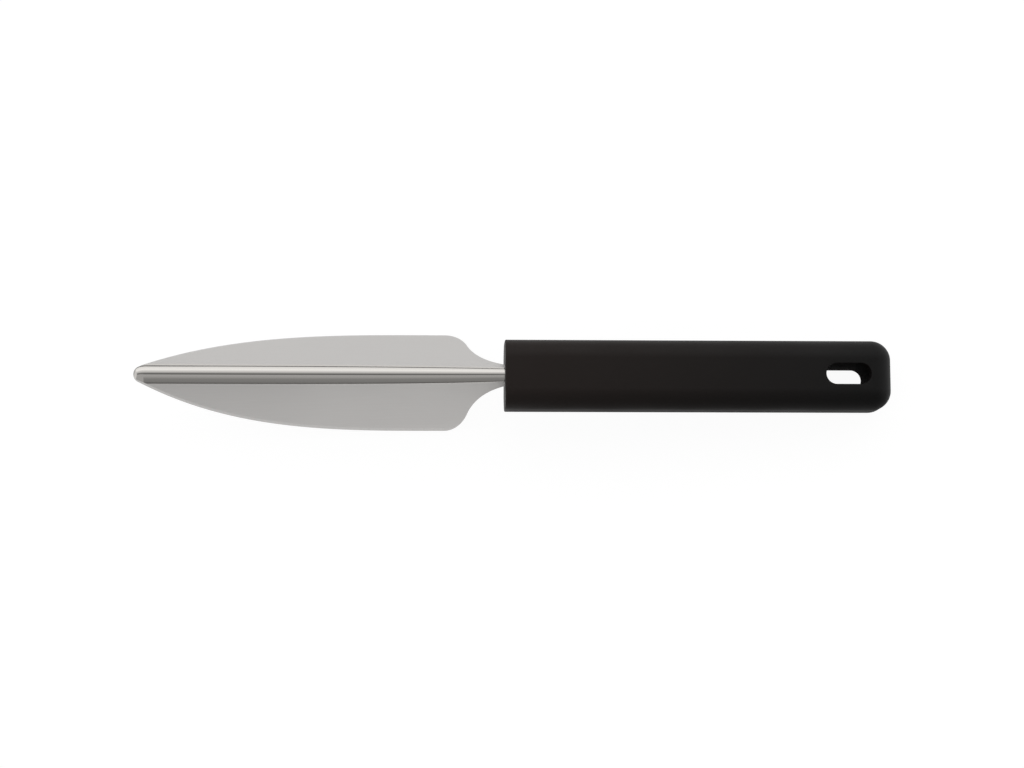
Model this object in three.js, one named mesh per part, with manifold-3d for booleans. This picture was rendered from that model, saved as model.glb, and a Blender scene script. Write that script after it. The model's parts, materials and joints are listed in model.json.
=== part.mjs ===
// A garnishing knife: a V-shaped blade pressed from one stainless steel sheet, whose tang is moulded
// into a flat-topped plastic handle with a hanging slot.
// Millimetres. The tool is drawn level: X runs from the handle's front face to the butt, so the blade
// lies at negative X, Y runs across, and Z = 0 is the handle's middle plane. It is then laid down as
// it rests on a table, ridge upwards.

import * as THREE from 'three';
import { mergeVertices } from 'three/addons/utils/BufferGeometryUtils.js';
import loadManifold from 'manifold-3d';

const { degToRad } = THREE.MathUtils;

// Blade section: sheet bent to a V, with a rounded ridge between two flat wings
const SHEET_THICKNESS = 0.9;
const WING_SLOPE = degToRad(55.8);
const RIDGE_TOP = 2.78; // above the handle's middle plane, by the tip
const BEND_RADIUS = 3.35; // of the ridge's outer skin, by the tip
const NECK_BEND_RADIUS = 2.4;

// Blade outline, seen from above
const BLADE_LENGTH = 100.2; // tip to handle
const NOSE_RADIUS = 2.35;
const NOSE_SLOPE = degToRad(25.2); // of the cutting edges behind the nose
const NOSE_DROP_LENGTH = 3.4; // stretch behind the tip in which the ridge curves down
const NOSE_DROP_TURN = degToRad(43); // slope of the ridge at the tip
const BELLY_NOSE_REACH = 28;
const BELLY_HEEL_REACH = 28;
const HEEL_HALF_WIDTH = 13.4;
const HEEL_SETBACK = 16.2; // from the handle to where the heel starts to round
const HEEL_RADIUS = 6.8;
const HEEL_SLOPE = degToRad(64);
const NECK_HALF_WIDTH = 2.95;
const NECK_SLOPE = degToRad(12.3); // of the neck's sides where they enter the handle

// Ground cutting edge, seen from above
const BEVEL_WIDTH = 0.6;
const EDGE_THICKNESS = 0.25;

// Tang inside the handle
const TANG_COVER = 26; // plastic between the tang's end and the hanging slot
const NOTCH_COUNT = 2; // on each side
const NOTCH_LENGTH = 6;
const NOTCH_DEPTH = 0.9;
const SOCKET_CLEARANCE = 0.3;

// Handle
const HANDLE_LENGTH = 105;
const HANDLE_WIDTH = 19;
const HANDLE_THICKNESS = 16;
const HANDLE_EDGE_RADIUS = 5.4;
const HANDLE_FRONT_RADIUS = 0.4;
const SLOT_LENGTH = 12.3;
const SLOT_WIDTH = 5.75;
const SLOT_SETBACK = 12.2; // slot's middle, from the butt

// Steps along each stretch of the outline and round each curve
const NOSE_STEPS = 6;
const BELLY_STEPS = 24;
const HEEL_STEPS = 6;
const SWEEP_STEPS = 8;
const TANG_STEPS = 1;
const RIDGE_STEPS = 6;
const CORNER_STEPS = 8;
const BUTT_STEPS = 6;
const FRONT_STEPS = 2;
const SLOT_STEPS = 12;

// Search for the angle at which the knife lies on a table
const PITCH_LIMIT = degToRad(30);
const PITCH_HALVINGS = 40;

const MERGE_DISTANCE = 1e-4;
const BEYOND = 2; // how far a cutting body runs past the face that it cuts

const TANG_LENGTH = HANDLE_LENGTH - SLOT_SETBACK - SLOT_LENGTH / 2 - TANG_COVER;
const EDGE_RADIUS = Math.min(HANDLE_EDGE_RADIUS, HANDLE_THICKNESS / 2, HANDLE_WIDTH / 2);

const wasm = await loadManifold();
wasm.setup();
const { Manifold, Mesh: SolidMesh } = wasm;

// Closed geometry with its shared points merged and its empty triangles left out
function closedGeometry(positions, triangles) {
  const loose = new THREE.BufferGeometry();
  loose.setAttribute('position', new THREE.Float32BufferAttribute(positions, 3));
  loose.setIndex(triangles);
  const geometry = mergeVertices(loose, MERGE_DISTANCE);
  const index = geometry.getIndex().array;
  const kept = [];
  for (let i = 0; i < index.length; i += 3) {
    const corners = index.slice(i, i + 3);
    if (new Set(corners).size === 3) kept.push(...corners);
  }
  geometry.setIndex(kept);
  return geometry;
}

// Closed body through rings of points, each anticlockwise as seen from +X
function loft(rings, { closeFront = true } = {}) {
  const count = rings[0].length;
  const triangles = [];
  for (let ring = 0; ring + 1 < rings.length; ring += 1) {
    for (let i = 0; i < count; i += 1) {
      const a = ring * count + i;
      const b = ring * count + ((i + 1) % count);
      triangles.push(a, b, a + count, b, b + count, a + count);
    }
  }
  const cap = (ring) => {
    const outline = ring.map((point) => new THREE.Vector2(point.y, point.z));
    return THREE.ShapeUtils.triangulateShape(outline, []);
  };
  const rear = (rings.length - 1) * count;
  for (const [a, b, c] of cap(rings.at(-1))) triangles.push(rear + a, rear + b, rear + c);
  if (closeFront) {
    for (const [a, b, c] of cap(rings[0])) triangles.push(a, c, b);
  }
  const positions = rings.flat().flatMap((point) => point.toArray());
  return closedGeometry(positions, triangles);
}

function toSolid(geometry) {
  const bare = geometry.clone();
  bare.deleteAttribute('normal');
  bare.deleteAttribute('uv');
  const merged = mergeVertices(bare, MERGE_DISTANCE);
  const vertProperties = merged.getAttribute('position').array;
  const triVerts = Uint32Array.from(merged.getIndex().array);
  return new Manifold(new SolidMesh({ numProp: 3, vertProperties, triVerts }));
}

function toGeometry(solid) {
  const { vertProperties, triVerts } = solid.getMesh();
  const geometry = new THREE.BufferGeometry();
  geometry.setAttribute('position', new THREE.Float32BufferAttribute(vertProperties, 3));
  geometry.setIndex(new THREE.Uint32BufferAttribute(triVerts, 1));
  geometry.computeVertexNormals();
  return geometry;
}

// Outer radius of the bend at a place along the blade: it tightens towards the neck, ever faster
function bendRadius(x) {
  const along = THREE.MathUtils.clamp((x + BLADE_LENGTH) / BLADE_LENGTH, 0, 1);
  return THREE.MathUtils.lerp(BEND_RADIUS, NECK_BEND_RADIUS, along ** 4);
}

// How far the sheet has curved down towards the tip
function noseDrop(x) {
  const radius = NOSE_DROP_LENGTH / Math.sin(NOSE_DROP_TURN);
  const run = Math.max(0, NOSE_DROP_LENGTH - BLADE_LENGTH - x);
  return radius - Math.sqrt(radius ** 2 - run ** 2);
}

// Height of the bend's centre: it rises as the bend tightens, so that the wings keep their planes, and
// sinks with the nose
function bendCentre(x) {
  const tightening = BEND_RADIUS - bendRadius(x);
  return RIDGE_TOP - BEND_RADIUS + tightening / Math.cos(WING_SLOPE) - noseDrop(x);
}

// Height of the skin that lies a depth under the blade's outer skin, y from the middle line
function skinHeight(x, y, depth) {
  const radius = bendRadius(x) - depth;
  const onWing = y > radius * Math.sin(WING_SLOPE);
  const rise = onWing
    ? radius / Math.cos(WING_SLOPE) - y * Math.tan(WING_SLOPE)
    : Math.sqrt(radius ** 2 - y ** 2);
  return bendCentre(x) + rise;
}

// The y of the point that lies square below another one, from one depth in the sheet to the next.
// Inside a tight bend the two sides meet on the middle line.
function squareBelow(x, y, fromDepth, toDepth) {
  const radius = bendRadius(x) - fromDepth;
  const onWing = y > radius * Math.sin(WING_SLOPE);
  const lean = onWing ? Math.sin(WING_SLOPE) : y / radius;
  return Math.max(0, y - (toDepth - fromDepth) * lean);
}

// Places across half the ridge, from its top line to where the wing starts
function ridgeColumns(x, depth, limit) {
  const radius = bendRadius(x) - depth;
  return Array.from({ length: RIDGE_STEPS + 1 }, (_, i) => {
    const turn = (i / RIDGE_STEPS) * WING_SLOPE;
    return { x, y: Math.min(radius * Math.sin(turn), limit), depth };
  });
}

// Ring round the sheet's section: over the outer skin from right to left, and back underneath.
// The columns run from the middle line to the right-hand edge.
function sheetRing(columns, innerDepth) {
  const outer = columns.map(({ x, y, depth }) => new THREE.Vector3(x, y, skinHeight(x, y, depth)));
  const inner = columns.map(({ x, y, depth }) => {
    const below = squareBelow(x, y, depth, innerDepth);
    return new THREE.Vector3(x, below, skinHeight(x, below, innerDepth));
  });
  const mirrored = (points) => points.slice(1).map((p) => new THREE.Vector3(p.x, -p.y, p.z));
  return [
    ...outer.toReversed(),
    ...mirrored(outer),
    ...mirrored(inner).toReversed(),
    ...inner,
  ];
}

// Where the heel's slope and the neck's slope would meet
function sweepCorner(heelEnd, neck) {
  const run = neck.x - heelEnd.x;
  const drop = heelEnd.y - neck.y;
  const reach = (drop * Math.cos(NECK_SLOPE) - run * Math.sin(NECK_SLOPE))
    / Math.sin(HEEL_SLOPE - NECK_SLOPE);
  const way = new THREE.Vector2(Math.cos(HEEL_SLOPE), -Math.sin(HEEL_SLOPE));
  return heelEnd.clone().addScaledVector(way, reach);
}

// Right-hand outline from the tip to the tang's end. Ground tells how much of the edge bevel a
// stretch has at its start and end: all of it along the cutting edge, none behind the heel.
function outlineStretches() {
  const noseTurn = Math.PI / 2 - NOSE_SLOPE;
  const noseArc = new THREE.ArcCurve(
    NOSE_RADIUS - BLADE_LENGTH, 0, NOSE_RADIUS, Math.PI, Math.PI - noseTurn, true,
  );
  const noseEnd = noseArc.getPoint(1);
  const noseWay = new THREE.Vector2(Math.cos(NOSE_SLOPE), Math.sin(NOSE_SLOPE));
  const heelStart = new THREE.Vector2(-HEEL_SETBACK, HEEL_HALF_WIDTH);
  const belly = new THREE.CubicBezierCurve(
    noseEnd,
    noseEnd.clone().addScaledVector(noseWay, BELLY_NOSE_REACH),
    heelStart.clone().add(new THREE.Vector2(-BELLY_HEEL_REACH, 0)),
    heelStart,
  );
  const heelArc = new THREE.ArcCurve(
    heelStart.x, heelStart.y - HEEL_RADIUS, HEEL_RADIUS, Math.PI / 2, Math.PI / 2 - HEEL_SLOPE, true,
  );
  const heelEnd = heelArc.getPoint(1);
  const neck = new THREE.Vector2(0, NECK_HALF_WIDTH);
  const sweep = new THREE.QuadraticBezierCurve(heelEnd, sweepCorner(heelEnd, neck), neck);
  const tang = new THREE.LineCurve(neck, new THREE.Vector2(TANG_LENGTH, NECK_HALF_WIDTH));
  return [
    { curve: noseArc, steps: NOSE_STEPS, ground: [1, 1] },
    { curve: belly, steps: BELLY_STEPS, ground: [1, 1] },
    { curve: heelArc, steps: HEEL_STEPS, ground: [1, 0] },
    { curve: sweep, steps: SWEEP_STEPS, ground: [0, 0] },
    { curve: tang, steps: TANG_STEPS, ground: [0, 0] },
  ];
}

// Columns of the blade's section at one place on the outline: the ridge, the bevel's start, the edge
function bladeColumns(edge, way, ground) {
  const bevel = new THREE.Vector2(edge.x + way.y * BEVEL_WIDTH, edge.y - way.x * BEVEL_WIDTH);
  const edgeDepth = ground * (SHEET_THICKNESS - EDGE_THICKNESS);
  return [
    ...ridgeColumns(bevel.x, 0, bevel.y),
    { x: bevel.x, y: bevel.y, depth: 0 },
    { x: edge.x, y: edge.y, depth: edgeDepth },
  ];
}

function bladeRings() {
  const rings = [];
  for (const { curve, steps, ground } of outlineStretches()) {
    for (let i = rings.length === 0 ? 0 : 1; i <= steps; i += 1) {
      const along = i / steps;
      const edge = curve.getPoint(along);
      const way = curve.getTangent(along);
      const groundHere = THREE.MathUtils.lerp(ground[0], ground[1], along);
      rings.push(sheetRing(bladeColumns(edge, way, groundHere), SHEET_THICKNESS));
    }
  }
  return rings;
}

// Blocks in the tang's side notches, made smaller by a clearance all round
function notchBlocks(clearance) {
  const blocks = [];
  const length = NOTCH_LENGTH - 2 * clearance;
  const innerSide = NECK_HALF_WIDTH - NOTCH_DEPTH + clearance;
  const outerSide = NECK_HALF_WIDTH + BEYOND;
  for (let i = 1; i <= NOTCH_COUNT; i += 1) {
    for (const side of [-1, 1]) {
      const block = new THREE.BoxGeometry(length, outerSide - innerSide, HANDLE_THICKNESS);
      const middle = (TANG_LENGTH * i) / (NOTCH_COUNT + 1);
      block.translate(middle, (side * (innerSide + outerSide)) / 2, 0);
      blocks.push(toSolid(block));
    }
  }
  return Manifold.union(blocks);
}

function makeBlade() {
  const pressing = toSolid(loft(bladeRings(), { closeFront: false }));
  const geometry = toGeometry(pressing.subtract(notchBlocks(0)));
  const steel = new THREE.MeshStandardMaterial({ color: '#b9b7b4', roughness: 0.28, metalness: 1 });
  const blade = new THREE.Mesh(geometry, steel);
  blade.name = 'blade';
  return blade;
}

// Room for the tang: its sheet grown by the clearance, less the plastic that fills its notches
function tangSocket() {
  const outerDepth = -SOCKET_CLEARANCE;
  const innerDepth = SHEET_THICKNESS + SOCKET_CLEARANCE;
  const edge = NECK_HALF_WIDTH + SOCKET_CLEARANCE * (Math.cos(WING_SLOPE) + Math.sin(WING_SLOPE));
  const rings = [-BEYOND, TANG_LENGTH + SOCKET_CLEARANCE].map((x) => {
    const columns = ridgeColumns(0, outerDepth, edge);
    columns.push({ x: 0, y: edge, depth: outerDepth });
    return sheetRing(columns, innerDepth).map((point) => point.setX(x));
  });
  return toSolid(loft(rings)).subtract(notchBlocks(SOCKET_CLEARANCE));
}

function hangingSlot() {
  const shape = new THREE.Shape();
  const halfStraight = (SLOT_LENGTH - SLOT_WIDTH) / 2;
  const radius = SLOT_WIDTH / 2;
  shape.absarc(halfStraight, 0, radius, -Math.PI / 2, Math.PI / 2, false);
  shape.absarc(-halfStraight, 0, radius, Math.PI / 2, (3 * Math.PI) / 2, false);
  const depth = HANDLE_THICKNESS + 2 * BEYOND;
  const geometry = new THREE.ExtrudeGeometry(shape, {
    depth, bevelEnabled: false, curveSegments: SLOT_STEPS,
  });
  geometry.translate(HANDLE_LENGTH - SLOT_SETBACK, 0, -depth / 2);
  return toSolid(geometry);
}

// Rounded rectangle across the handle, drawn in by an inset
function handleRing(x, inset) {
  const radius = EDGE_RADIUS - inset;
  const halfWidth = HANDLE_WIDTH / 2 - EDGE_RADIUS;
  const halfThickness = HANDLE_THICKNESS / 2 - EDGE_RADIUS;
  const ring = [];
  for (const [corner, [ySide, zSide]] of [[1, 1], [-1, 1], [-1, -1], [1, -1]].entries()) {
    for (let i = 0; i <= CORNER_STEPS; i += 1) {
      const turn = (corner + i / CORNER_STEPS) * (Math.PI / 2);
      const y = ySide * halfWidth + radius * Math.cos(turn);
      const z = zSide * halfThickness + radius * Math.sin(turn);
      ring.push(new THREE.Vector3(x, y, z));
    }
  }
  return ring;
}

function handleRings() {
  const rings = [];
  for (let i = 0; i <= FRONT_STEPS; i += 1) {
    const turn = (i / FRONT_STEPS) * (Math.PI / 2);
    const x = HANDLE_FRONT_RADIUS * (1 - Math.cos(turn));
    rings.push(handleRing(x, HANDLE_FRONT_RADIUS * (1 - Math.sin(turn))));
  }
  for (let i = 0; i <= BUTT_STEPS; i += 1) {
    const turn = (i / BUTT_STEPS) * (Math.PI / 2);
    const x = HANDLE_LENGTH - EDGE_RADIUS * (1 - Math.sin(turn));
    rings.push(handleRing(x, EDGE_RADIUS * (1 - Math.cos(turn))));
  }
  return rings;
}

function makeHandle() {
  const moulding = toSolid(loft(handleRings()));
  const geometry = toGeometry(moulding.subtract(tangSocket()).subtract(hangingSlot()));
  const plastic = new THREE.MeshStandardMaterial({ color: '#1f1d1c', roughness: 0.5, metalness: 0 });
  const handle = new THREE.Mesh(geometry, plastic);
  handle.name = 'handle';
  return handle;
}

// Lowest point of a mesh once the level tool is tipped butt downwards by an angle
function lowestPoint(mesh, pitch) {
  const points = mesh.geometry.getAttribute('position');
  let lowest = Infinity;
  for (let i = 0; i < points.count; i += 1) {
    const height = points.getZ(i) * Math.cos(pitch) - points.getX(i) * Math.sin(pitch);
    lowest = Math.min(lowest, height);
  }
  return lowest;
}

// Angle at which the wings' edges and the butt both touch a table
function restingPitch(blade, handle) {
  let low = -PITCH_LIMIT;
  let high = PITCH_LIMIT;
  for (let i = 0; i < PITCH_HALVINGS; i += 1) {
    const middle = (low + high) / 2;
    const handleIsHigher = lowestPoint(handle, middle) > lowestPoint(blade, middle);
    if (handleIsHigher) low = middle;
    else high = middle;
  }
  return (low + high) / 2;
}

// The knife as it lies on a table, its origin under the middle of it
function layDown(blade, handle) {
  const tool = new THREE.Group();
  tool.add(blade, handle);
  tool.rotation.y = restingPitch(blade, handle);
  const knife = new THREE.Group();
  knife.add(tool);
  const box = new THREE.Box3().setFromObject(knife, true);
  const middle = box.getCenter(new THREE.Vector3());
  tool.position.set(-middle.x, -middle.y, -box.min.z);
  return knife;
}

export default layDown(makeBlade(), makeHandle());
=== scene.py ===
"""Looks of the garnishing knife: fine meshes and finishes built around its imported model.

The pieces are drawn in millimetres on the level tool, as its maker would draw it: X runs from the
handle's front face to the butt, so the blade lies at negative X, Y runs across, and Z = 0 is the
handle's middle plane. One matrix, found from the record's mounts, lays them where the model lies.
"""

import json
import math

import bmesh
import bpy
from mathutils import Matrix, Vector


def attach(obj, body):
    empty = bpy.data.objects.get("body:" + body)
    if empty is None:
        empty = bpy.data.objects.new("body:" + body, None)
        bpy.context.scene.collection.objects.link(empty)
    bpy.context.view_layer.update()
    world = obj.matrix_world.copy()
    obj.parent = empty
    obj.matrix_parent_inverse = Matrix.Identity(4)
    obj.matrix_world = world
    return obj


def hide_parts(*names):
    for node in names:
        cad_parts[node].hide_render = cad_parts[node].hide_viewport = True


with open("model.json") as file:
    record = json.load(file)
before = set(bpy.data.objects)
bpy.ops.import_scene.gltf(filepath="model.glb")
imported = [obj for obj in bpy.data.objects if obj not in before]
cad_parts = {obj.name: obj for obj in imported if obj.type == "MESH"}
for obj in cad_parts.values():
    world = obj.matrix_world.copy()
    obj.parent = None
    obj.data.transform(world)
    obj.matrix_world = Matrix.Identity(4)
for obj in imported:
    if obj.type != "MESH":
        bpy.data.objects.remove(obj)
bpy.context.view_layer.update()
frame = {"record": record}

MM = 0.001

# Blade section
SHEET_THICKNESS = 0.9
WING_SLOPE = math.radians(55.8)
RIDGE_TOP = 2.78  # above the handle's middle plane, by the tip
BEND_RADIUS = 3.35  # of the ridge's outer skin, by the tip
NECK_BEND_RADIUS = 2.4
BEND_TAPER_POWER = 4
BRIGHT_TURN = math.radians(55)  # how far down the bend the bright skin reaches

# Blade outline, seen from above
BLADE_LENGTH = 100.2
NOSE_RADIUS = 2.35
NOSE_SLOPE = math.radians(25.2)
NOSE_DROP_LENGTH = 3.4
NOSE_DROP_TURN = math.radians(43)
BELLY_NOSE_REACH = 28
BELLY_HEEL_REACH = 28
HEEL_HALF_WIDTH = 13.4
HEEL_SETBACK = 16.2
HEEL_RADIUS = 6.8
HEEL_SLOPE = math.radians(64)
NECK_HALF_WIDTH = 2.95
NECK_SLOPE = math.radians(12.3)

# Ground cutting edge
FACET_SLOPE = math.radians(75)
FACET_REACH = 1.5
EDGE_THICKNESS = 0.25

# Tang and the socket that is moulded round it
TANG_LENGTH = 60.65
NOTCH_COUNT = 2
NOTCH_LENGTH = 6
NOTCH_DEPTH = 0.9
SOCKET_CLEARANCE = 0.05

# Handle
HANDLE_LENGTH = 105
HANDLE_WIDTH = 19
HANDLE_THICKNESS = 16
HANDLE_EDGE_RADIUS = 5.4
HANDLE_FRONT_RADIUS = 0.25
SLOT_LENGTH = 12.3
SLOT_WIDTH = 5.75
SLOT_SETBACK = 12.2
SLOT_RIM_RADIUS = 0.05
MOUNT_SETBACK = 45  # of the record's two flat mounts, behind the front face

# Steps along each stretch of the outline and round each curve
NOSE_STEPS = 20
BELLY_STEPS = 110
BELLY_CROWDING = 1.5  # draws the steps towards the nose
HEEL_STEPS = 20
SWEEP_STEPS = 28
RIDGE_STEPS = 28
SHOULDER_STEPS = 4
WING_STEPS = 6
FACET_STEPS = 2
FACET_SEARCH_STEPS = 150
FACET_SMOOTHING_REACH = 4
CORNER_STEPS = 24
BUTT_STEPS = 20
FRONT_STEPS = 4
SLOT_STEPS = 32
RIM_STEPS = 6
MERGE_DISTANCE = 1e-3
BLADE_SHARP_ANGLE = math.radians(12)
HANDLE_SHARP_ANGLE = math.radians(30)

# Places in each piece's list of finishes, after the first
BRIGHT_FINISH = 1
EDGE_FINISH = 2
# The slot's wall takes a copy of the plastic with painted shade
SLOT_SHADE_FINISH = 1

# The photograph's camera, in the tool's frame and in millimetres where no other unit is named
IMAGE_WIDTH = 1024
SENSOR_WIDTH = 36
FOCAL_PIXELS = 2324
CAMERA_X = -24.47
CAMERA_DISTANCE = 630.9
CAMERA_TILT = math.radians(7.548)
CAMERA_AIM = Vector((2.01, -2.215, 0))
CAMERA_ROLL = math.radians(-0.11)


def mount(name):
    return next(m for m in frame["record"]["mounts"] if m["name"] == name)


def tool_matrix():
    """Millimetres on the level tool to metres where the knife lies."""
    top = Vector(mount("handle_top")["pos_m"])
    underside = Vector(mount("handle_underside")["pos_m"])
    up = (top - underside).normalized()
    across = Vector((0, 1, 0))
    along = across.cross(up)
    origin = (top + underside) / 2 - along * MOUNT_SETBACK * MM
    turn = Matrix((along, across, up)).transposed().to_4x4()
    return Matrix.Translation(origin) @ turn @ Matrix.Scale(MM, 4)


TOOL = tool_matrix()


def mix(a, b, share):
    return a + (b - a) * share


# Sheet of the blade

def bend_radius(x):
    along = min(max((x + BLADE_LENGTH) / BLADE_LENGTH, 0), 1)
    return mix(BEND_RADIUS, NECK_BEND_RADIUS, along**BEND_TAPER_POWER)


def nose_drop(x):
    """How far the sheet has curved down towards the tip."""
    radius = NOSE_DROP_LENGTH / math.sin(NOSE_DROP_TURN)
    run = max(NOSE_DROP_LENGTH - BLADE_LENGTH - x, 0)
    return radius - math.sqrt(radius**2 - run**2)


def bend_centre(x):
    tightening = BEND_RADIUS - bend_radius(x)
    return RIDGE_TOP - BEND_RADIUS + tightening / math.cos(WING_SLOPE) - nose_drop(x)


def skin_height(x, y, depth):
    """Height of the skin that lies a depth under the blade's outer skin."""
    radius = bend_radius(x) - depth
    if y > radius * math.sin(WING_SLOPE):
        return bend_centre(x) + radius / math.cos(WING_SLOPE) - y * math.tan(WING_SLOPE)
    return bend_centre(x) + math.sqrt(radius**2 - y**2)


def square_below(x, y, from_depth, to_depth):
    """The y of the point that lies square below another one, deeper in the sheet."""
    lean = min(y / (bend_radius(x) - from_depth), math.sin(WING_SLOPE))
    return max(0, y - (to_depth - from_depth) * lean)


def skin_point(x, y, depth):
    return Vector((x, y, skin_height(x, y, depth)))


def point_below(x, y, from_depth, to_depth):
    return skin_point(x, square_below(x, y, from_depth, to_depth), to_depth)


def section_widths(x, edge_y, depth):
    """Places across half the section: the bright ridge, its shoulder, then out along the wing."""
    radius = bend_radius(x) - depth
    turns = [BRIGHT_TURN * i / RIDGE_STEPS for i in range(RIDGE_STEPS)]
    turns += [mix(BRIGHT_TURN, WING_SLOPE, i / SHOULDER_STEPS) for i in range(SHOULDER_STEPS + 1)]
    bend = [min(radius * math.sin(turn), edge_y) for turn in turns]
    return bend + [mix(bend[-1], edge_y, (i + 1) / WING_STEPS) for i in range(WING_STEPS)]


def sheet_ring(outer, inner):
    """Ring round the section: over the outer skin from right to left, and back underneath."""
    def mirrored(points):
        return [Vector((p.x, -p.y, p.z)) for p in points[1:]]
    return outer[::-1] + mirrored(outer) + mirrored(inner)[::-1] + inner


# Outline of the blade

def arc(centre, radius, start, turn, along):
    """Point and direction on an arc that turns clockwise."""
    angle = start - turn * along
    point = centre + radius * Vector((math.cos(angle), math.sin(angle)))
    return point, Vector((math.sin(angle), -math.cos(angle)))


def bezier(points, along):
    """Point and direction on a Bezier curve."""
    while len(points) > 2:
        points = [a.lerp(b, along) for a, b in zip(points, points[1:])]
    return points[0].lerp(points[1], along), (points[1] - points[0]).normalized()


def sweep_corner(heel_end, neck):
    """Where the heel's slope and the neck's slope would meet."""
    drop = (heel_end.y - neck.y) * math.cos(NECK_SLOPE)
    run = (neck.x - heel_end.x) * math.sin(NECK_SLOPE)
    reach = (drop - run) / math.sin(HEEL_SLOPE - NECK_SLOPE)
    return heel_end + reach * Vector((math.cos(HEEL_SLOPE), -math.sin(HEEL_SLOPE)))


def blade_outline():
    """Right-hand outline from the tip to the neck: point, direction and share of the bevel."""
    nose_centre = Vector((NOSE_RADIUS - BLADE_LENGTH, 0))
    nose_turn = math.pi / 2 - NOSE_SLOPE
    nose_end, nose_way = arc(nose_centre, NOSE_RADIUS, math.pi, nose_turn, 1)
    heel_start = Vector((-HEEL_SETBACK, HEEL_HALF_WIDTH))
    heel_centre = heel_start - Vector((0, HEEL_RADIUS))
    heel_end, _ = arc(heel_centre, HEEL_RADIUS, math.pi / 2, HEEL_SLOPE, 1)
    neck = Vector((0, NECK_HALF_WIDTH))
    belly = [
        nose_end,
        nose_end + nose_way * BELLY_NOSE_REACH,
        heel_start - Vector((BELLY_HEEL_REACH, 0)),
        heel_start,
    ]
    sweep = [heel_end, sweep_corner(heel_end, neck), neck]
    outline = []
    for i in range(NOSE_STEPS):
        outline.append((*arc(nose_centre, NOSE_RADIUS, math.pi, nose_turn, i / NOSE_STEPS), 1))
    for i in range(BELLY_STEPS):
        outline.append((*bezier(belly, (i / BELLY_STEPS) ** BELLY_CROWDING), 1))
    for i in range(HEEL_STEPS):
        along = i / HEEL_STEPS
        outline.append((*arc(heel_centre, HEEL_RADIUS, math.pi / 2, HEEL_SLOPE, along), 1 - along))
    for i in range(SWEEP_STEPS + 1):
        outline.append((*bezier(sweep, i / SWEEP_STEPS), 0))
    return outline


def facet_width(edge, inward, edge_depth):
    """How far in from the edge the ground facet reaches, seen from above."""
    base = skin_height(edge.x, edge.y, edge_depth)
    step = FACET_REACH / FACET_SEARCH_STEPS
    width = FACET_REACH
    while width > 0:
        place = edge + inward * width
        if skin_height(place.x, abs(place.y), 0) >= base + width * math.tan(FACET_SLOPE):
            break
        width -= step
    return max(width, 0)


def smoothed(values, reach):
    """Running mean, narrower towards both ends, so that the end values stay."""
    means = []
    for i in range(len(values)):
        spread = min(reach, i, len(values) - 1 - i)
        window = values[i - spread:i + spread + 1]
        means.append(sum(window) / len(window))
    return means


def blade_rings():
    """Rings round the sheet at each step of the outline, with the facet as the last steps outwards."""
    outline = blade_outline()
    inwards = [Vector((way.y, -way.x)) for _, way, _ in outline]
    depths = [ground * (SHEET_THICKNESS - EDGE_THICKNESS) for *_, ground in outline]
    reaches = [
        facet_width(edge, inward, depth) for (edge, *_), inward, depth in zip(outline, inwards, depths)
    ]
    widths = smoothed(reaches, FACET_SMOOTHING_REACH)
    rings = []
    for (edge, *_), inward, depth, width in zip(outline, inwards, depths, widths):
        start = edge + inward * width
        places = section_widths(start.x, max(start.y, 0), 0)
        outer = [skin_point(start.x, y, 0) for y in places]
        inner = [point_below(start.x, y, 0, SHEET_THICKNESS) for y in places]
        outer_edge = skin_point(edge.x, edge.y, depth)
        inner_edge = point_below(edge.x, edge.y, depth, SHEET_THICKNESS)
        for i in range(1, FACET_STEPS + 1):
            outer.append(outer[len(places) - 1].lerp(outer_edge, i / FACET_STEPS))
            inner.append(inner[len(places) - 1].lerp(inner_edge, i / FACET_STEPS))
        rings.append(sheet_ring(outer, inner))
    return rings


def tang_ring(x, edge_y, clearance):
    """Section of the tang, which has the neck's shape, or of its socket."""
    outer_depth = -clearance
    inner_depth = SHEET_THICKNESS + clearance
    places = section_widths(0, edge_y, outer_depth)
    # The facet has run out before the neck, so its points fall together
    places += [edge_y] * FACET_STEPS
    outer = [skin_point(0, y, outer_depth) for y in places]
    inner = [point_below(0, y, outer_depth, inner_depth) for y in places]
    ring = sheet_ring(outer, inner)
    for point in ring:
        point.x = x
    return ring


def tang_rings(clearance):
    """Rings from the neck to the tang's end, drawn in at the notches."""
    grown = clearance * (math.cos(WING_SLOPE) + math.sin(WING_SLOPE))
    wide = NECK_HALF_WIDTH + grown
    narrow = NECK_HALF_WIDTH - NOTCH_DEPTH + grown
    half_notch = NOTCH_LENGTH / 2 - clearance
    stations = [(0, wide)]
    for i in range(NOTCH_COUNT):
        middle = TANG_LENGTH * (i + 1) / (NOTCH_COUNT + 1)
        stations += [(middle - half_notch, wide), (middle - half_notch, narrow)]
        stations += [(middle + half_notch, narrow), (middle + half_notch, wide)]
    stations.append((TANG_LENGTH + clearance, wide))
    return [tang_ring(x, edge_y, clearance) for x, edge_y in stations]


# Mesh building

def add_rings(mesh, rings):
    """Joins closed rings of points by four-sided faces, and returns the rings of vertices."""
    loops = [[mesh.verts.new(point) for point in ring] for ring in rings]
    for near, far in zip(loops, loops[1:]):
        for i in range(len(near)):
            j = (i + 1) % len(near)
            mesh.faces.new((near[i], near[j], far[j], far[i]))
    return loops


def close_sheet(mesh, loop):
    """Closes the end of a sheet's section, outer skin against inner skin."""
    for i in range(len(loop) // 2 - 1):
        mesh.faces.new((loop[i], loop[i + 1], loop[-2 - i], loop[-1 - i]))


def loop_edges(mesh, loop):
    edges = []
    for a, b in zip(loop, loop[1:] + loop[:1]):
        edges.append(mesh.edges.get((a, b)) or mesh.edges.new((a, b)))
    return edges


def distinct(loop):
    """The loop without the vertices that lie on their next one."""
    pairs = zip(loop, loop[1:] + loop[:1])
    return [a for a, b in pairs if (a.co - b.co).length > MERGE_DISTANCE]


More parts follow.
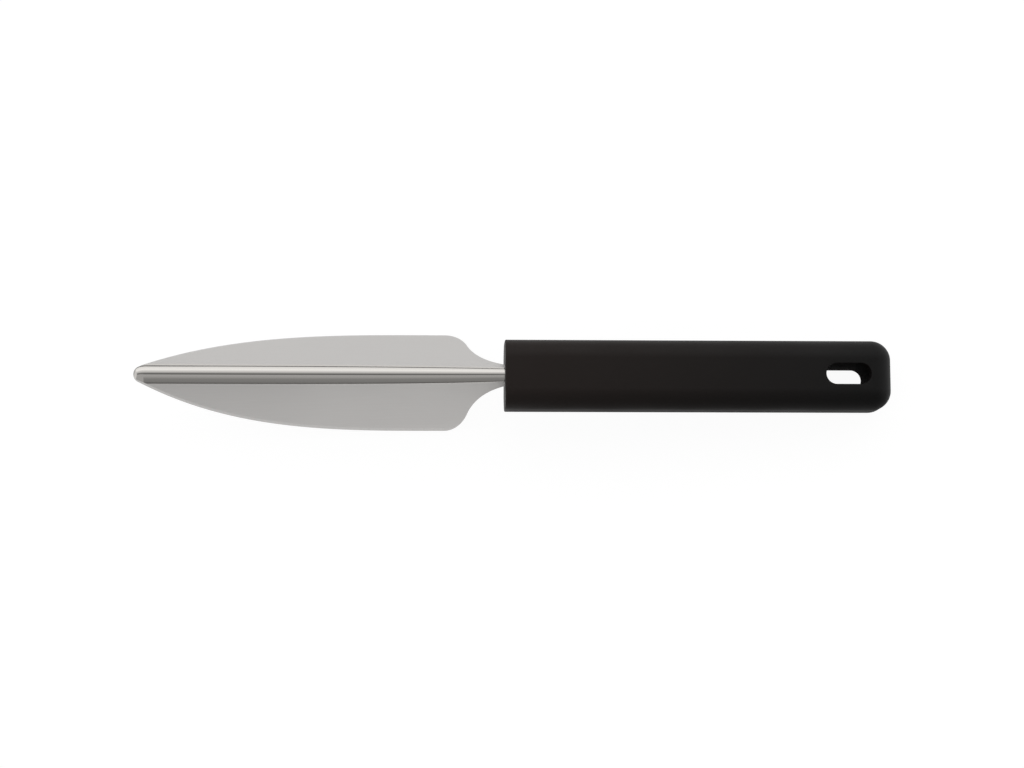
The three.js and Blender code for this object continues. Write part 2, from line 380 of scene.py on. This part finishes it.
def fill_between(mesh, *loops):
    """Fills a flat face between an outer loop and the holes in it."""
    edges = [edge for loop in loops for edge in loop_edges(mesh, distinct(loop))]
    bmesh.ops.triangle_fill(mesh, use_beauty=True, edges=edges)


def add_piece(name, mesh, materials, sharp_angle):
    """Finishes a piece in its place: clean, outward faces, smooth apart from its sharp edges."""
    bmesh.ops.remove_doubles(mesh, verts=mesh.verts, dist=MERGE_DISTANCE)
    bmesh.ops.dissolve_degenerate(mesh, edges=mesh.edges, dist=MERGE_DISTANCE)
    bmesh.ops.recalc_face_normals(mesh, faces=mesh.faces)
    mesh.transform(TOOL)
    data = bpy.data.meshes.new(name)
    mesh.to_mesh(data)
    mesh.free()
    for material in materials:
        data.materials.append(material)
    data.shade_smooth()
    data.set_sharp_from_angle(angle=sharp_angle)
    piece = bpy.data.objects.new(name, data)
    bpy.context.scene.collection.objects.link(piece)
    return piece


def mark_finishes(mesh, loops):
    """Gives the ridge's outer faces the bright finish, and the facets the ground-edge finish."""
    mesh.faces.ensure_lookup_table()
    half = RIDGE_STEPS + SHOULDER_STEPS + WING_STEPS + FACET_STEPS
    for ring in range(len(loops) - 1):
        for i in range(2 * half):
            face = mesh.faces[ring * len(loops[0]) + i]
            column = abs(i + 0.5 - half)
            if column < RIDGE_STEPS:
                face.material_index = BRIGHT_FINISH
            elif column > half - FACET_STEPS:
                face.material_index = EDGE_FINISH


def make_blade(materials):
    mesh = bmesh.new()
    loops = add_rings(mesh, blade_rings() + tang_rings(0)[1:])
    close_sheet(mesh, loops[-1])
    mark_finishes(mesh, loops)
    return add_piece("blade_pressing", mesh, materials, BLADE_SHARP_ANGLE)


# Handle

def handle_ring(x, inset):
    """Rounded rectangle across the handle, drawn in by an inset."""
    radius = HANDLE_EDGE_RADIUS - inset
    half_width = HANDLE_WIDTH / 2 - HANDLE_EDGE_RADIUS
    half_thickness = HANDLE_THICKNESS / 2 - HANDLE_EDGE_RADIUS
    ring = []
    for corner, (y_side, z_side) in enumerate([(1, 1), (-1, 1), (-1, -1), (1, -1)]):
        for i in range(CORNER_STEPS + 1):
            turn = (corner + i / CORNER_STEPS) * math.pi / 2
            y = y_side * half_width + radius * math.cos(turn)
            z = z_side * half_thickness + radius * math.sin(turn)
            ring.append(Vector((x, y, z)))
    return ring


def front_rings():
    """The square front's edge, rounded a little."""
    rings = []
    for i in range(FRONT_STEPS + 1):
        turn = math.pi / 2 * i / FRONT_STEPS
        x = HANDLE_FRONT_RADIUS * (1 - math.cos(turn))
        rings.append(handle_ring(x, HANDLE_FRONT_RADIUS * (1 - math.sin(turn))))
    return rings


def butt_rings():
    """The butt, rounded like the handle's long edges."""
    rings = []
    for i in range(BUTT_STEPS + 1):
        turn = math.pi / 2 * i / BUTT_STEPS
        x = HANDLE_LENGTH - HANDLE_EDGE_RADIUS * (1 - math.sin(turn))
        rings.append(handle_ring(x, HANDLE_EDGE_RADIUS * (1 - math.cos(turn))))
    return rings


def slot_loop(grown, z):
    """Stadium outline of the hanging slot at a height, grown outwards."""
    half_straight = (SLOT_LENGTH - SLOT_WIDTH) / 2
    radius = SLOT_WIDTH / 2 + grown
    middle = HANDLE_LENGTH - SLOT_SETBACK
    loop = []
    for side in (1, -1):
        for i in range(SLOT_STEPS + 1):
            turn = math.pi * (i / SLOT_STEPS - 0.5)
            x = middle + side * (half_straight + radius * math.cos(turn))
            loop.append(Vector((x, side * radius * math.sin(turn), z)))
    return loop


def slot_rings():
    """The slot's wall from the top face to the underside, with rounded rims."""
    top = HANDLE_THICKNESS / 2
    upper = []
    for i in range(RIM_STEPS + 1):
        turn = math.pi / 2 * i / RIM_STEPS
        grown = SLOT_RIM_RADIUS * (1 - math.sin(turn))
        upper.append((grown, top - SLOT_RIM_RADIUS * (1 - math.cos(turn))))
    lower = [(grown, -z) for grown, z in reversed(upper)]
    return [slot_loop(grown, z) for grown, z in upper + lower]


def make_handle(materials):
    """The moulding: its shell, the slot's wall and the tang's socket, joined by flat faces."""
    mesh = bmesh.new()
    # The stretch with the slot begins a little before the slot's rim
    slot_reach = SLOT_SETBACK + SLOT_LENGTH / 2 + 2 * SLOT_RIM_RADIUS
    front = front_rings()
    grip = handle_ring(HANDLE_LENGTH - slot_reach, 0)
    butt = butt_rings()
    rings = add_rings(mesh, front + [grip] + butt)
    slot = add_rings(mesh, slot_rings())
    # The slot's wall gets the copy of the plastic with painted shade
    for loop in slot[RIM_STEPS:RIM_STEPS + 2]:
        for vertex in loop:
            for face in vertex.link_faces:
                face.material_index = SLOT_SHADE_FINISH
    socket = add_rings(mesh, tang_rings(SOCKET_CLEARANCE))
    close_sheet(mesh, socket[-1])
    fill_between(mesh, rings[0], socket[0])
    mesh.faces.new(rings[-1])
    near = rings[len(front)]
    far = rings[len(front) + 1]
    # The flat top begins where the first corner ends, and the underside where the third one ends
    top = CORNER_STEPS
    underside = 3 * (CORNER_STEPS + 1) - 1
    for first, rim in ((top, slot[0]), (underside, slot[-1])):
        corners = [near[first], near[first + 1], far[first + 1], far[first]]
        mesh.faces.remove(next(f for f in near[first].link_faces if set(corners) == set(f.verts)))
        fill_between(mesh, corners, rim)
    return add_piece("handle_moulding", mesh, materials, HANDLE_SHARP_ANGLE)


# Finishes

# Marks in millimetres along, across and up. The real grinding lines, draw lines and mould pits are
# finer than 0.1 mm and would not show, so they are drawn coarser.
SATIN_STREAKS = (26, 0.45, 0.45)
DRAW_LINES = (40, 0.3, 0.3)
EDGE_MARKS = (0.3, 4, 4)
MOULD_PITS = (0.45, 0.45, 0.45)
HANDLING_PATCHES = (14, 9, 9)
CORE_DRAG = (0.4, 0.4, 3)
# Most of the noise lies in this range
NOISE_RANGE = {"From Min": 0.3, "From Max": 0.7}
POLYPROPYLENE_IOR = 1.49


def linear(code):
    """sRGB hex colour as linear red, green, blue and alpha."""
    channels = []
    for i in (1, 3, 5):
        level = int(code[i:i + 2], 16) / 255
        channels.append(level / 12.92 if level <= 0.04045 else ((level + 0.055) / 1.055) ** 2.4)
    return (*channels, 1)


def add_node(tree, kind, inputs=None, **settings):
    """Adds a node with its settings, and its inputs as values or as links from other sockets."""
    node = tree.nodes.new(kind)
    for name, value in settings.items():
        setattr(node, name, value)
    for name, value in (inputs or {}).items():
        if isinstance(value, bpy.types.NodeSocket):
            tree.links.new(value, node.inputs[name])
        else:
            node.inputs[name].default_value = value
    return node


def new_material(name):
    material = bpy.data.materials.new(name)
    material.use_nodes = True
    material.node_tree.nodes.clear()
    return material, material.node_tree


def grain(tree, size_mm, detail):
    """Noise whose grains have a size in millimetres along, across and up."""
    place = add_node(tree, "ShaderNodeTexCoord").outputs["Object"]
    scale = tuple(1 / (size * MM) for size in size_mm)
    stretched = add_node(tree, "ShaderNodeMapping", {"Vector": place, "Scale": scale})
    noise = add_node(
        tree, "ShaderNodeTexNoise", {"Vector": stretched.outputs[0], "Scale": 1, "Detail": detail}
    )
    return noise.outputs["Fac"]


def satin_ground_stainless():
    """Stainless sheet, ground lengthwise with fine grit: a soft grey sheen with faint streaks."""
    material, tree = new_material("stainless_satin_ground")
    streaks = grain(tree, SATIN_STREAKS, 3)
    rough = add_node(
        tree, "ShaderNodeMapRange",
        {"Value": streaks, **NOISE_RANGE, "To Min": 0.31, "To Max": 0.39},
    )
    colour = add_node(
        tree, "ShaderNodeMix",
        {"Factor": streaks, "A": linear("#bcbab8"), "B": linear("#c6c4c2")}, data_type="RGBA",
    )
    bump = add_node(
        tree, "ShaderNodeBump", {"Height": streaks, "Strength": 0.1, "Distance": 0.01 * MM}
    )
    steel = add_node(
        tree, "ShaderNodeBsdfPrincipled",
        {
            "Base Color": colour.outputs["Result"],
            "Metallic": 1,
            "Roughness": rough.outputs["Result"],
            "Normal": bump.outputs["Normal"],
        },
    )
    add_node(tree, "ShaderNodeOutputMaterial", {"Surface": steel.outputs[0]})
    return material


def bright_ridge_stainless():
    """The ridge keeps the bright skin of the press: crisp reflections with faint draw lines."""
    material, tree = new_material("stainless_bright_ridge")
    lines = grain(tree, DRAW_LINES, 2)
    rough = add_node(
        tree, "ShaderNodeMapRange",
        {"Value": lines, **NOISE_RANGE, "To Min": 0.06, "To Max": 0.1},
    )
    steel = add_node(
        tree, "ShaderNodeBsdfPrincipled",
        {"Base Color": linear("#c4c1bd"), "Metallic": 1, "Roughness": rough.outputs["Result"]},
    )
    add_node(tree, "ShaderNodeOutputMaterial", {"Surface": steel.outputs[0]})
    return material


def ground_edge_stainless():
    """The cutting edge is ground across: a narrow line with short marks, rougher than the wing."""
    material, tree = new_material("stainless_ground_edge")
    marks = grain(tree, EDGE_MARKS, 2)
    rough = add_node(
        tree, "ShaderNodeMapRange",
        {"Value": marks, **NOISE_RANGE, "To Min": 0.3, "To Max": 0.42},
    )
    steel = add_node(
        tree, "ShaderNodeBsdfPrincipled",
        {"Base Color": linear("#b6b4b2"), "Metallic": 1, "Roughness": rough.outputs["Result"]},
    )
    add_node(tree, "ShaderNodeOutputMaterial", {"Surface": steel.outputs[0]})
    return material


def moulded_black_polypropylene():
    """Black polypropylene from a spark-eroded mould: a fine matt skin, a little lighter and browner
    towards the front face.
    """
    material, tree = new_material("polypropylene_moulded_black")
    pits = grain(tree, MOULD_PITS, 2)
    handling = grain(tree, HANDLING_PATCHES, 2)
    rough = add_node(
        tree, "ShaderNodeMapRange",
        {"Value": handling, **NOISE_RANGE, "To Min": 0.53, "To Max": 0.61},
    )
    place = add_node(tree, "ShaderNodeTexCoord").outputs["Object"]
    along = add_node(tree, "ShaderNodeSeparateXYZ", {"Vector": place})
    front = TOOL.translation.x
    towards_butt = add_node(
        tree, "ShaderNodeMapRange",
        {"Value": along.outputs["X"], "From Min": front, "From Max": front + HANDLE_LENGTH * MM},
    )
    # Lighter and browner at the front face, near black at the butt
    colour = add_node(
        tree, "ShaderNodeMix",
        {"Factor": towards_butt.outputs["Result"], "A": linear("#211a17"), "B": linear("#0a0a0a")},
        data_type="RGBA",
    )
    bump = add_node(
        tree, "ShaderNodeBump", {"Height": pits, "Strength": 0.15, "Distance": 0.03 * MM}
    )
    plastic = add_node(
        tree, "ShaderNodeBsdfPrincipled",
        {
            "Base Color": colour.outputs["Result"],
            "Roughness": rough.outputs["Result"],
            "IOR": POLYPROPYLENE_IOR,
            "Specular IOR Level": 0.21,
            "Normal": bump.outputs["Normal"],
        },
    )
    add_node(tree, "ShaderNodeOutputMaterial", {"Surface": plastic.outputs[0]})
    return material


def slot_wall_painted_shade():
    """The slot's wall is drawn off the mould's core: rougher than the grip, and with its reflection all
    but taken away, which is painted shade that keeps the slot dark.
    """
    material, tree = new_material("polypropylene_slot_wall_painted_shade")
    drag = grain(tree, CORE_DRAG, 2)
    rough = add_node(
        tree, "ShaderNodeMapRange",
        {"Value": drag, **NOISE_RANGE, "To Min": 0.7, "To Max": 0.8},
    )
    plastic = add_node(
        tree, "ShaderNodeBsdfPrincipled",
        {
            "Base Color": linear("#171414"),
            "Roughness": rough.outputs["Result"],
            "IOR": POLYPROPYLENE_IOR,
            # Almost no reflection: painted shade for the slot's dark inside
            "Specular IOR Level": 0.003,
        },
    )
    add_node(tree, "ShaderNodeOutputMaterial", {"Surface": plastic.outputs[0]})
    return material


# Stage, with lengths in metres and brightness in parts of white

FLOOR_SIZE = 14
FLOOR_WHITE = "#5a5a5a"
FLOOR_GLOW = 0.945
FLOOR_GAP = 0.02 * MM
TENT_RADIUS = 2.2
TENT_LENGTH = 7
TENT_STEP = 1  # degree
TENT_LEFT = -0.6
TENT_RIGHT = 0.15
TENT_LEFT_LEAST = 0.58
TENT_RIGHT_MOST = 0.22
FLAG_RADIUS = 1.9
FLAG_HEIGHT = 0.2
FLAG_STEPS = 48
FLAG_LEVEL = 0.1
TIP_FLAG_HEIGHT = 0.38
TIP_FLAG_START = math.radians(97.5)
TIP_FLAG_END = math.radians(190)
CARD_HEIGHT = 1 * MM
# Cards in front: reach from the knife's middle line, and brightness
CARD_LEVELS = [(0.018, 0.9), (0.12, 0.93), (0.14, 0.28), (FLAG_RADIUS, 0.28)]
HEEL_CARD_LEFT = -0.06
HEEL_CARD_LEVELS = [
    (0.018, 0.9), (0.035, 0.93), (0.06, 1.01), (0.12, 1.01), (0.14, 0.28), (FLAG_RADIUS, 0.28),
]
# Painted shadow: the board's shade beside the handle, as a darker card that only reflections see
PAINTED_HANDLE_SHADOW_LEVELS = [(0.0105, 0.42), (0.016, 0.5), (0.03, 0.4), (0.12, 0.55), (FLAG_RADIUS, 0.28)]
# Cloth tent over the knife: angle from overhead, towards the back, and brightness
TENT_LEVELS = [
    (90, 0.1), (84, 0.15), (79, 1.05), (67, 1.3), (55, 1.38), (44, 1.5), (33, 1.15), (23, 0.92),
    (13, 0.55), (8, 0.3), (3, 0.16), (-2, 0.3), (-6, 0.62), (-26, 0.53), (-36, 0.42), (-46, 0.35),
    (-68, 0.32), (-90, 0.28),
]


def stage_piece(name, data, material):
    data.materials.append(material)
    piece = bpy.data.objects.new(name, data)
    bpy.context.scene.collection.objects.link(piece)
    return piece


def make_floor():
    """White board, lit from below so that it is white round the knife and keeps a faint shadow."""
    material, tree = new_material("matt_white_board")
    paper = add_node(tree, "ShaderNodeBsdfDiffuse", {"Color": linear(FLOOR_WHITE)})
    path = add_node(tree, "ShaderNodeLightPath").outputs
    seen = add_node(
        tree, "ShaderNodeMath",
        {0: path["Is Camera Ray"], 1: path["Is Glossy Ray"]}, operation="MAXIMUM",
    )
    shown = add_node(
        tree, "ShaderNodeMath",
        {0: seen.outputs[0], 1: path["Is Transmission Ray"]}, operation="MAXIMUM",
    )
    level = add_node(
        tree, "ShaderNodeMath", {0: shown.outputs[0], 1: FLOOR_GLOW}, operation="MULTIPLY"
    )
    glow = add_node(tree, "ShaderNodeEmission", {"Strength": level.outputs[0]})
    both = add_node(tree, "ShaderNodeAddShader", {0: paper.outputs[0], 1: glow.outputs[0]})
    add_node(tree, "ShaderNodeOutputMaterial", {"Surface": both.outputs[0]})
    mesh = bmesh.new()
    bmesh.ops.create_grid(mesh, size=FLOOR_SIZE / 2)
    data = bpy.data.meshes.new("floor")
    mesh.to_mesh(data)
    mesh.free()
    floor = stage_piece("floor", data, material)
    floor.location.z = -FLOOR_GAP


def glowing_strip(name, pairs, levels):
    """Strip of cloth through pairs of points, out of the camera's sight, that the steel reflects."""
    material, tree = new_material(name)
    level = add_node(tree, "ShaderNodeAttribute", attribute_name="level")
    glow = add_node(tree, "ShaderNodeEmission", {"Strength": level.outputs["Fac"]})
    add_node(tree, "ShaderNodeOutputMaterial", {"Surface": glow.outputs[0]})
    points = [point for pair in pairs for point in pair]
    faces = [(2 * i, 2 * i + 1, 2 * i + 3, 2 * i + 2) for i in range(len(pairs) - 1)]
    data = bpy.data.meshes.new(name)
    data.from_pydata(points, [], faces)
    attribute = data.attributes.new("level", "FLOAT", "POINT")
    attribute.data.foreach_set("value", [value for value in levels for _ in range(2)])
    strip = stage_piece(name, data, material)
    strip.visible_camera = False
    return strip


def tent_level(angle):
    """Brightness of the tent at an angle, between the two levels beside it."""
    for (high, high_level), (low, low_level) in zip(TENT_LEVELS, TENT_LEVELS[1:]):
        if angle >= low:
            return mix(low_level, high_level, (angle - low) / (high - low))


def tent_part(name, left, right, least=0, most=1):
    """One length of the tent, with limits to its brightness in front."""
    angles = range(TENT_LEVELS[0][0], TENT_LEVELS[-1][0] - 1, -TENT_STEP)
    pairs = []
    levels = []
    for angle in angles:
        y = TENT_RADIUS * math.sin(math.radians(angle))
        z = TENT_RADIUS * math.cos(math.radians(angle))
        pairs.append([(left, y, z), (right, y, z)])
        level = tent_level(angle)
        levels.append(min(max(level, least), most) if y < 0 else level)
    glowing_strip(name, pairs, levels)


def make_tent():
    """Cloth tent along the knife: bright behind, a dark seam overhead, and in front pale to dark grey."""
    tent_part("cloth_tent_left", -TENT_LENGTH / 2, TENT_LEFT, least=TENT_LEFT_LEAST)
    tent_part("cloth_tent", TENT_LEFT, TENT_RIGHT)
    tent_part("cloth_tent_right", TENT_RIGHT, TENT_LENGTH / 2, most=TENT_RIGHT_MOST)


def make_flag(name, start, end, height):
    """Low dark flag on an arc round the knife."""
    pairs = []
    for i in range(FLAG_STEPS + 1):
        turn = mix(start, end, i / FLAG_STEPS)
        x = FLAG_RADIUS * math.cos(turn)
        y = FLAG_RADIUS * math.sin(turn)
        pairs.append([(x, y, 0), (x, y, height)])
    glowing_strip(name, pairs, [FLAG_LEVEL] * len(pairs))


def make_flags():
    """Flags all round draw the thin dark line at the foot of the reflections, stronger by the tip."""
    make_flag("dark_flag", TIP_FLAG_END, TIP_FLAG_START + 2 * math.pi, FLAG_HEIGHT)
    make_flag("tip_flag", TIP_FLAG_START, TIP_FLAG_END, TIP_FLAG_HEIGHT)


def make_card(name, left, right, levels):
    """Card that lies in front of the knife and shows in the gloss alone."""
    pairs = [[(left, -reach, CARD_HEIGHT), (right, -reach, CARD_HEIGHT)] for reach, _ in levels]
    card = glowing_strip(name, pairs, [level for _, level in levels])
    card.visible_diffuse = False
    card.visible_shadow = False


def make_cards():
    """Grey cards light the lower wing, more by the heel; a darker one is painted shadow: the board's
    shade beside the handle, seen only in reflections.
    """
    handle_front = TOOL.translation.x
    make_card("grey_card", -TENT_LENGTH / 2, HEEL_CARD_LEFT, CARD_LEVELS)
    make_card("heel_card", HEEL_CARD_LEFT, handle_front, HEEL_CARD_LEVELS)
    # Painted shadow beside the handle, seen only in reflections
    make_card("painted_handle_shadow_card", handle_front, TENT_LENGTH / 2, PAINTED_HANDLE_SHADOW_LEVELS)


def make_world():
    """Even white light all round."""
    world = bpy.data.worlds.new("white_studio")
    world.use_nodes = True
    background = world.node_tree.nodes["Background"].inputs
    background["Color"].default_value = (1, 1, 1, 1)
    background["Strength"].default_value = 1
    bpy.context.scene.world = world


def make_camera():
    """Camera that sees the knife from where the photograph was taken."""
    data = bpy.data.cameras.new("camera")
    data.sensor_width = SENSOR_WIDTH
    data.lens = FOCAL_PIXELS * SENSOR_WIDTH / IMAGE_WIDTH
    place = Vector((
        CAMERA_X,
        -CAMERA_DISTANCE * math.sin(CAMERA_TILT),
        CAMERA_DISTANCE * math.cos(CAMERA_TILT),
    ))
    forward = (CAMERA_AIM - place).normalized()
    right = forward.cross(Vector((0, 1, 0))).normalized()
    up = right.cross(forward)
    turn = Matrix((right, up, -forward)).transposed() @ Matrix.Rotation(CAMERA_ROLL, 3, "Z")
    camera = bpy.data.objects.new("camera", data)
    rotation = TOOL.to_quaternion() @ turn.to_quaternion()
    camera.matrix_world = Matrix.LocRotScale(TOOL @ place, rotation, None)
    bpy.context.scene.collection.objects.link(camera)
    bpy.context.scene.camera = camera


bpy.context.scene.view_settings.view_transform = "Standard"
make_camera()
make_world()
make_floor()
make_tent()
make_flags()
make_cards()

blade = make_blade([satin_ground_stainless(), bright_ridge_stainless(), ground_edge_stainless()])
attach(blade, "root")
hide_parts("blade")

handle = make_handle([moulded_black_polypropylene(), slot_wall_painted_shade()])
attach(handle, "root")
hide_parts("handle")
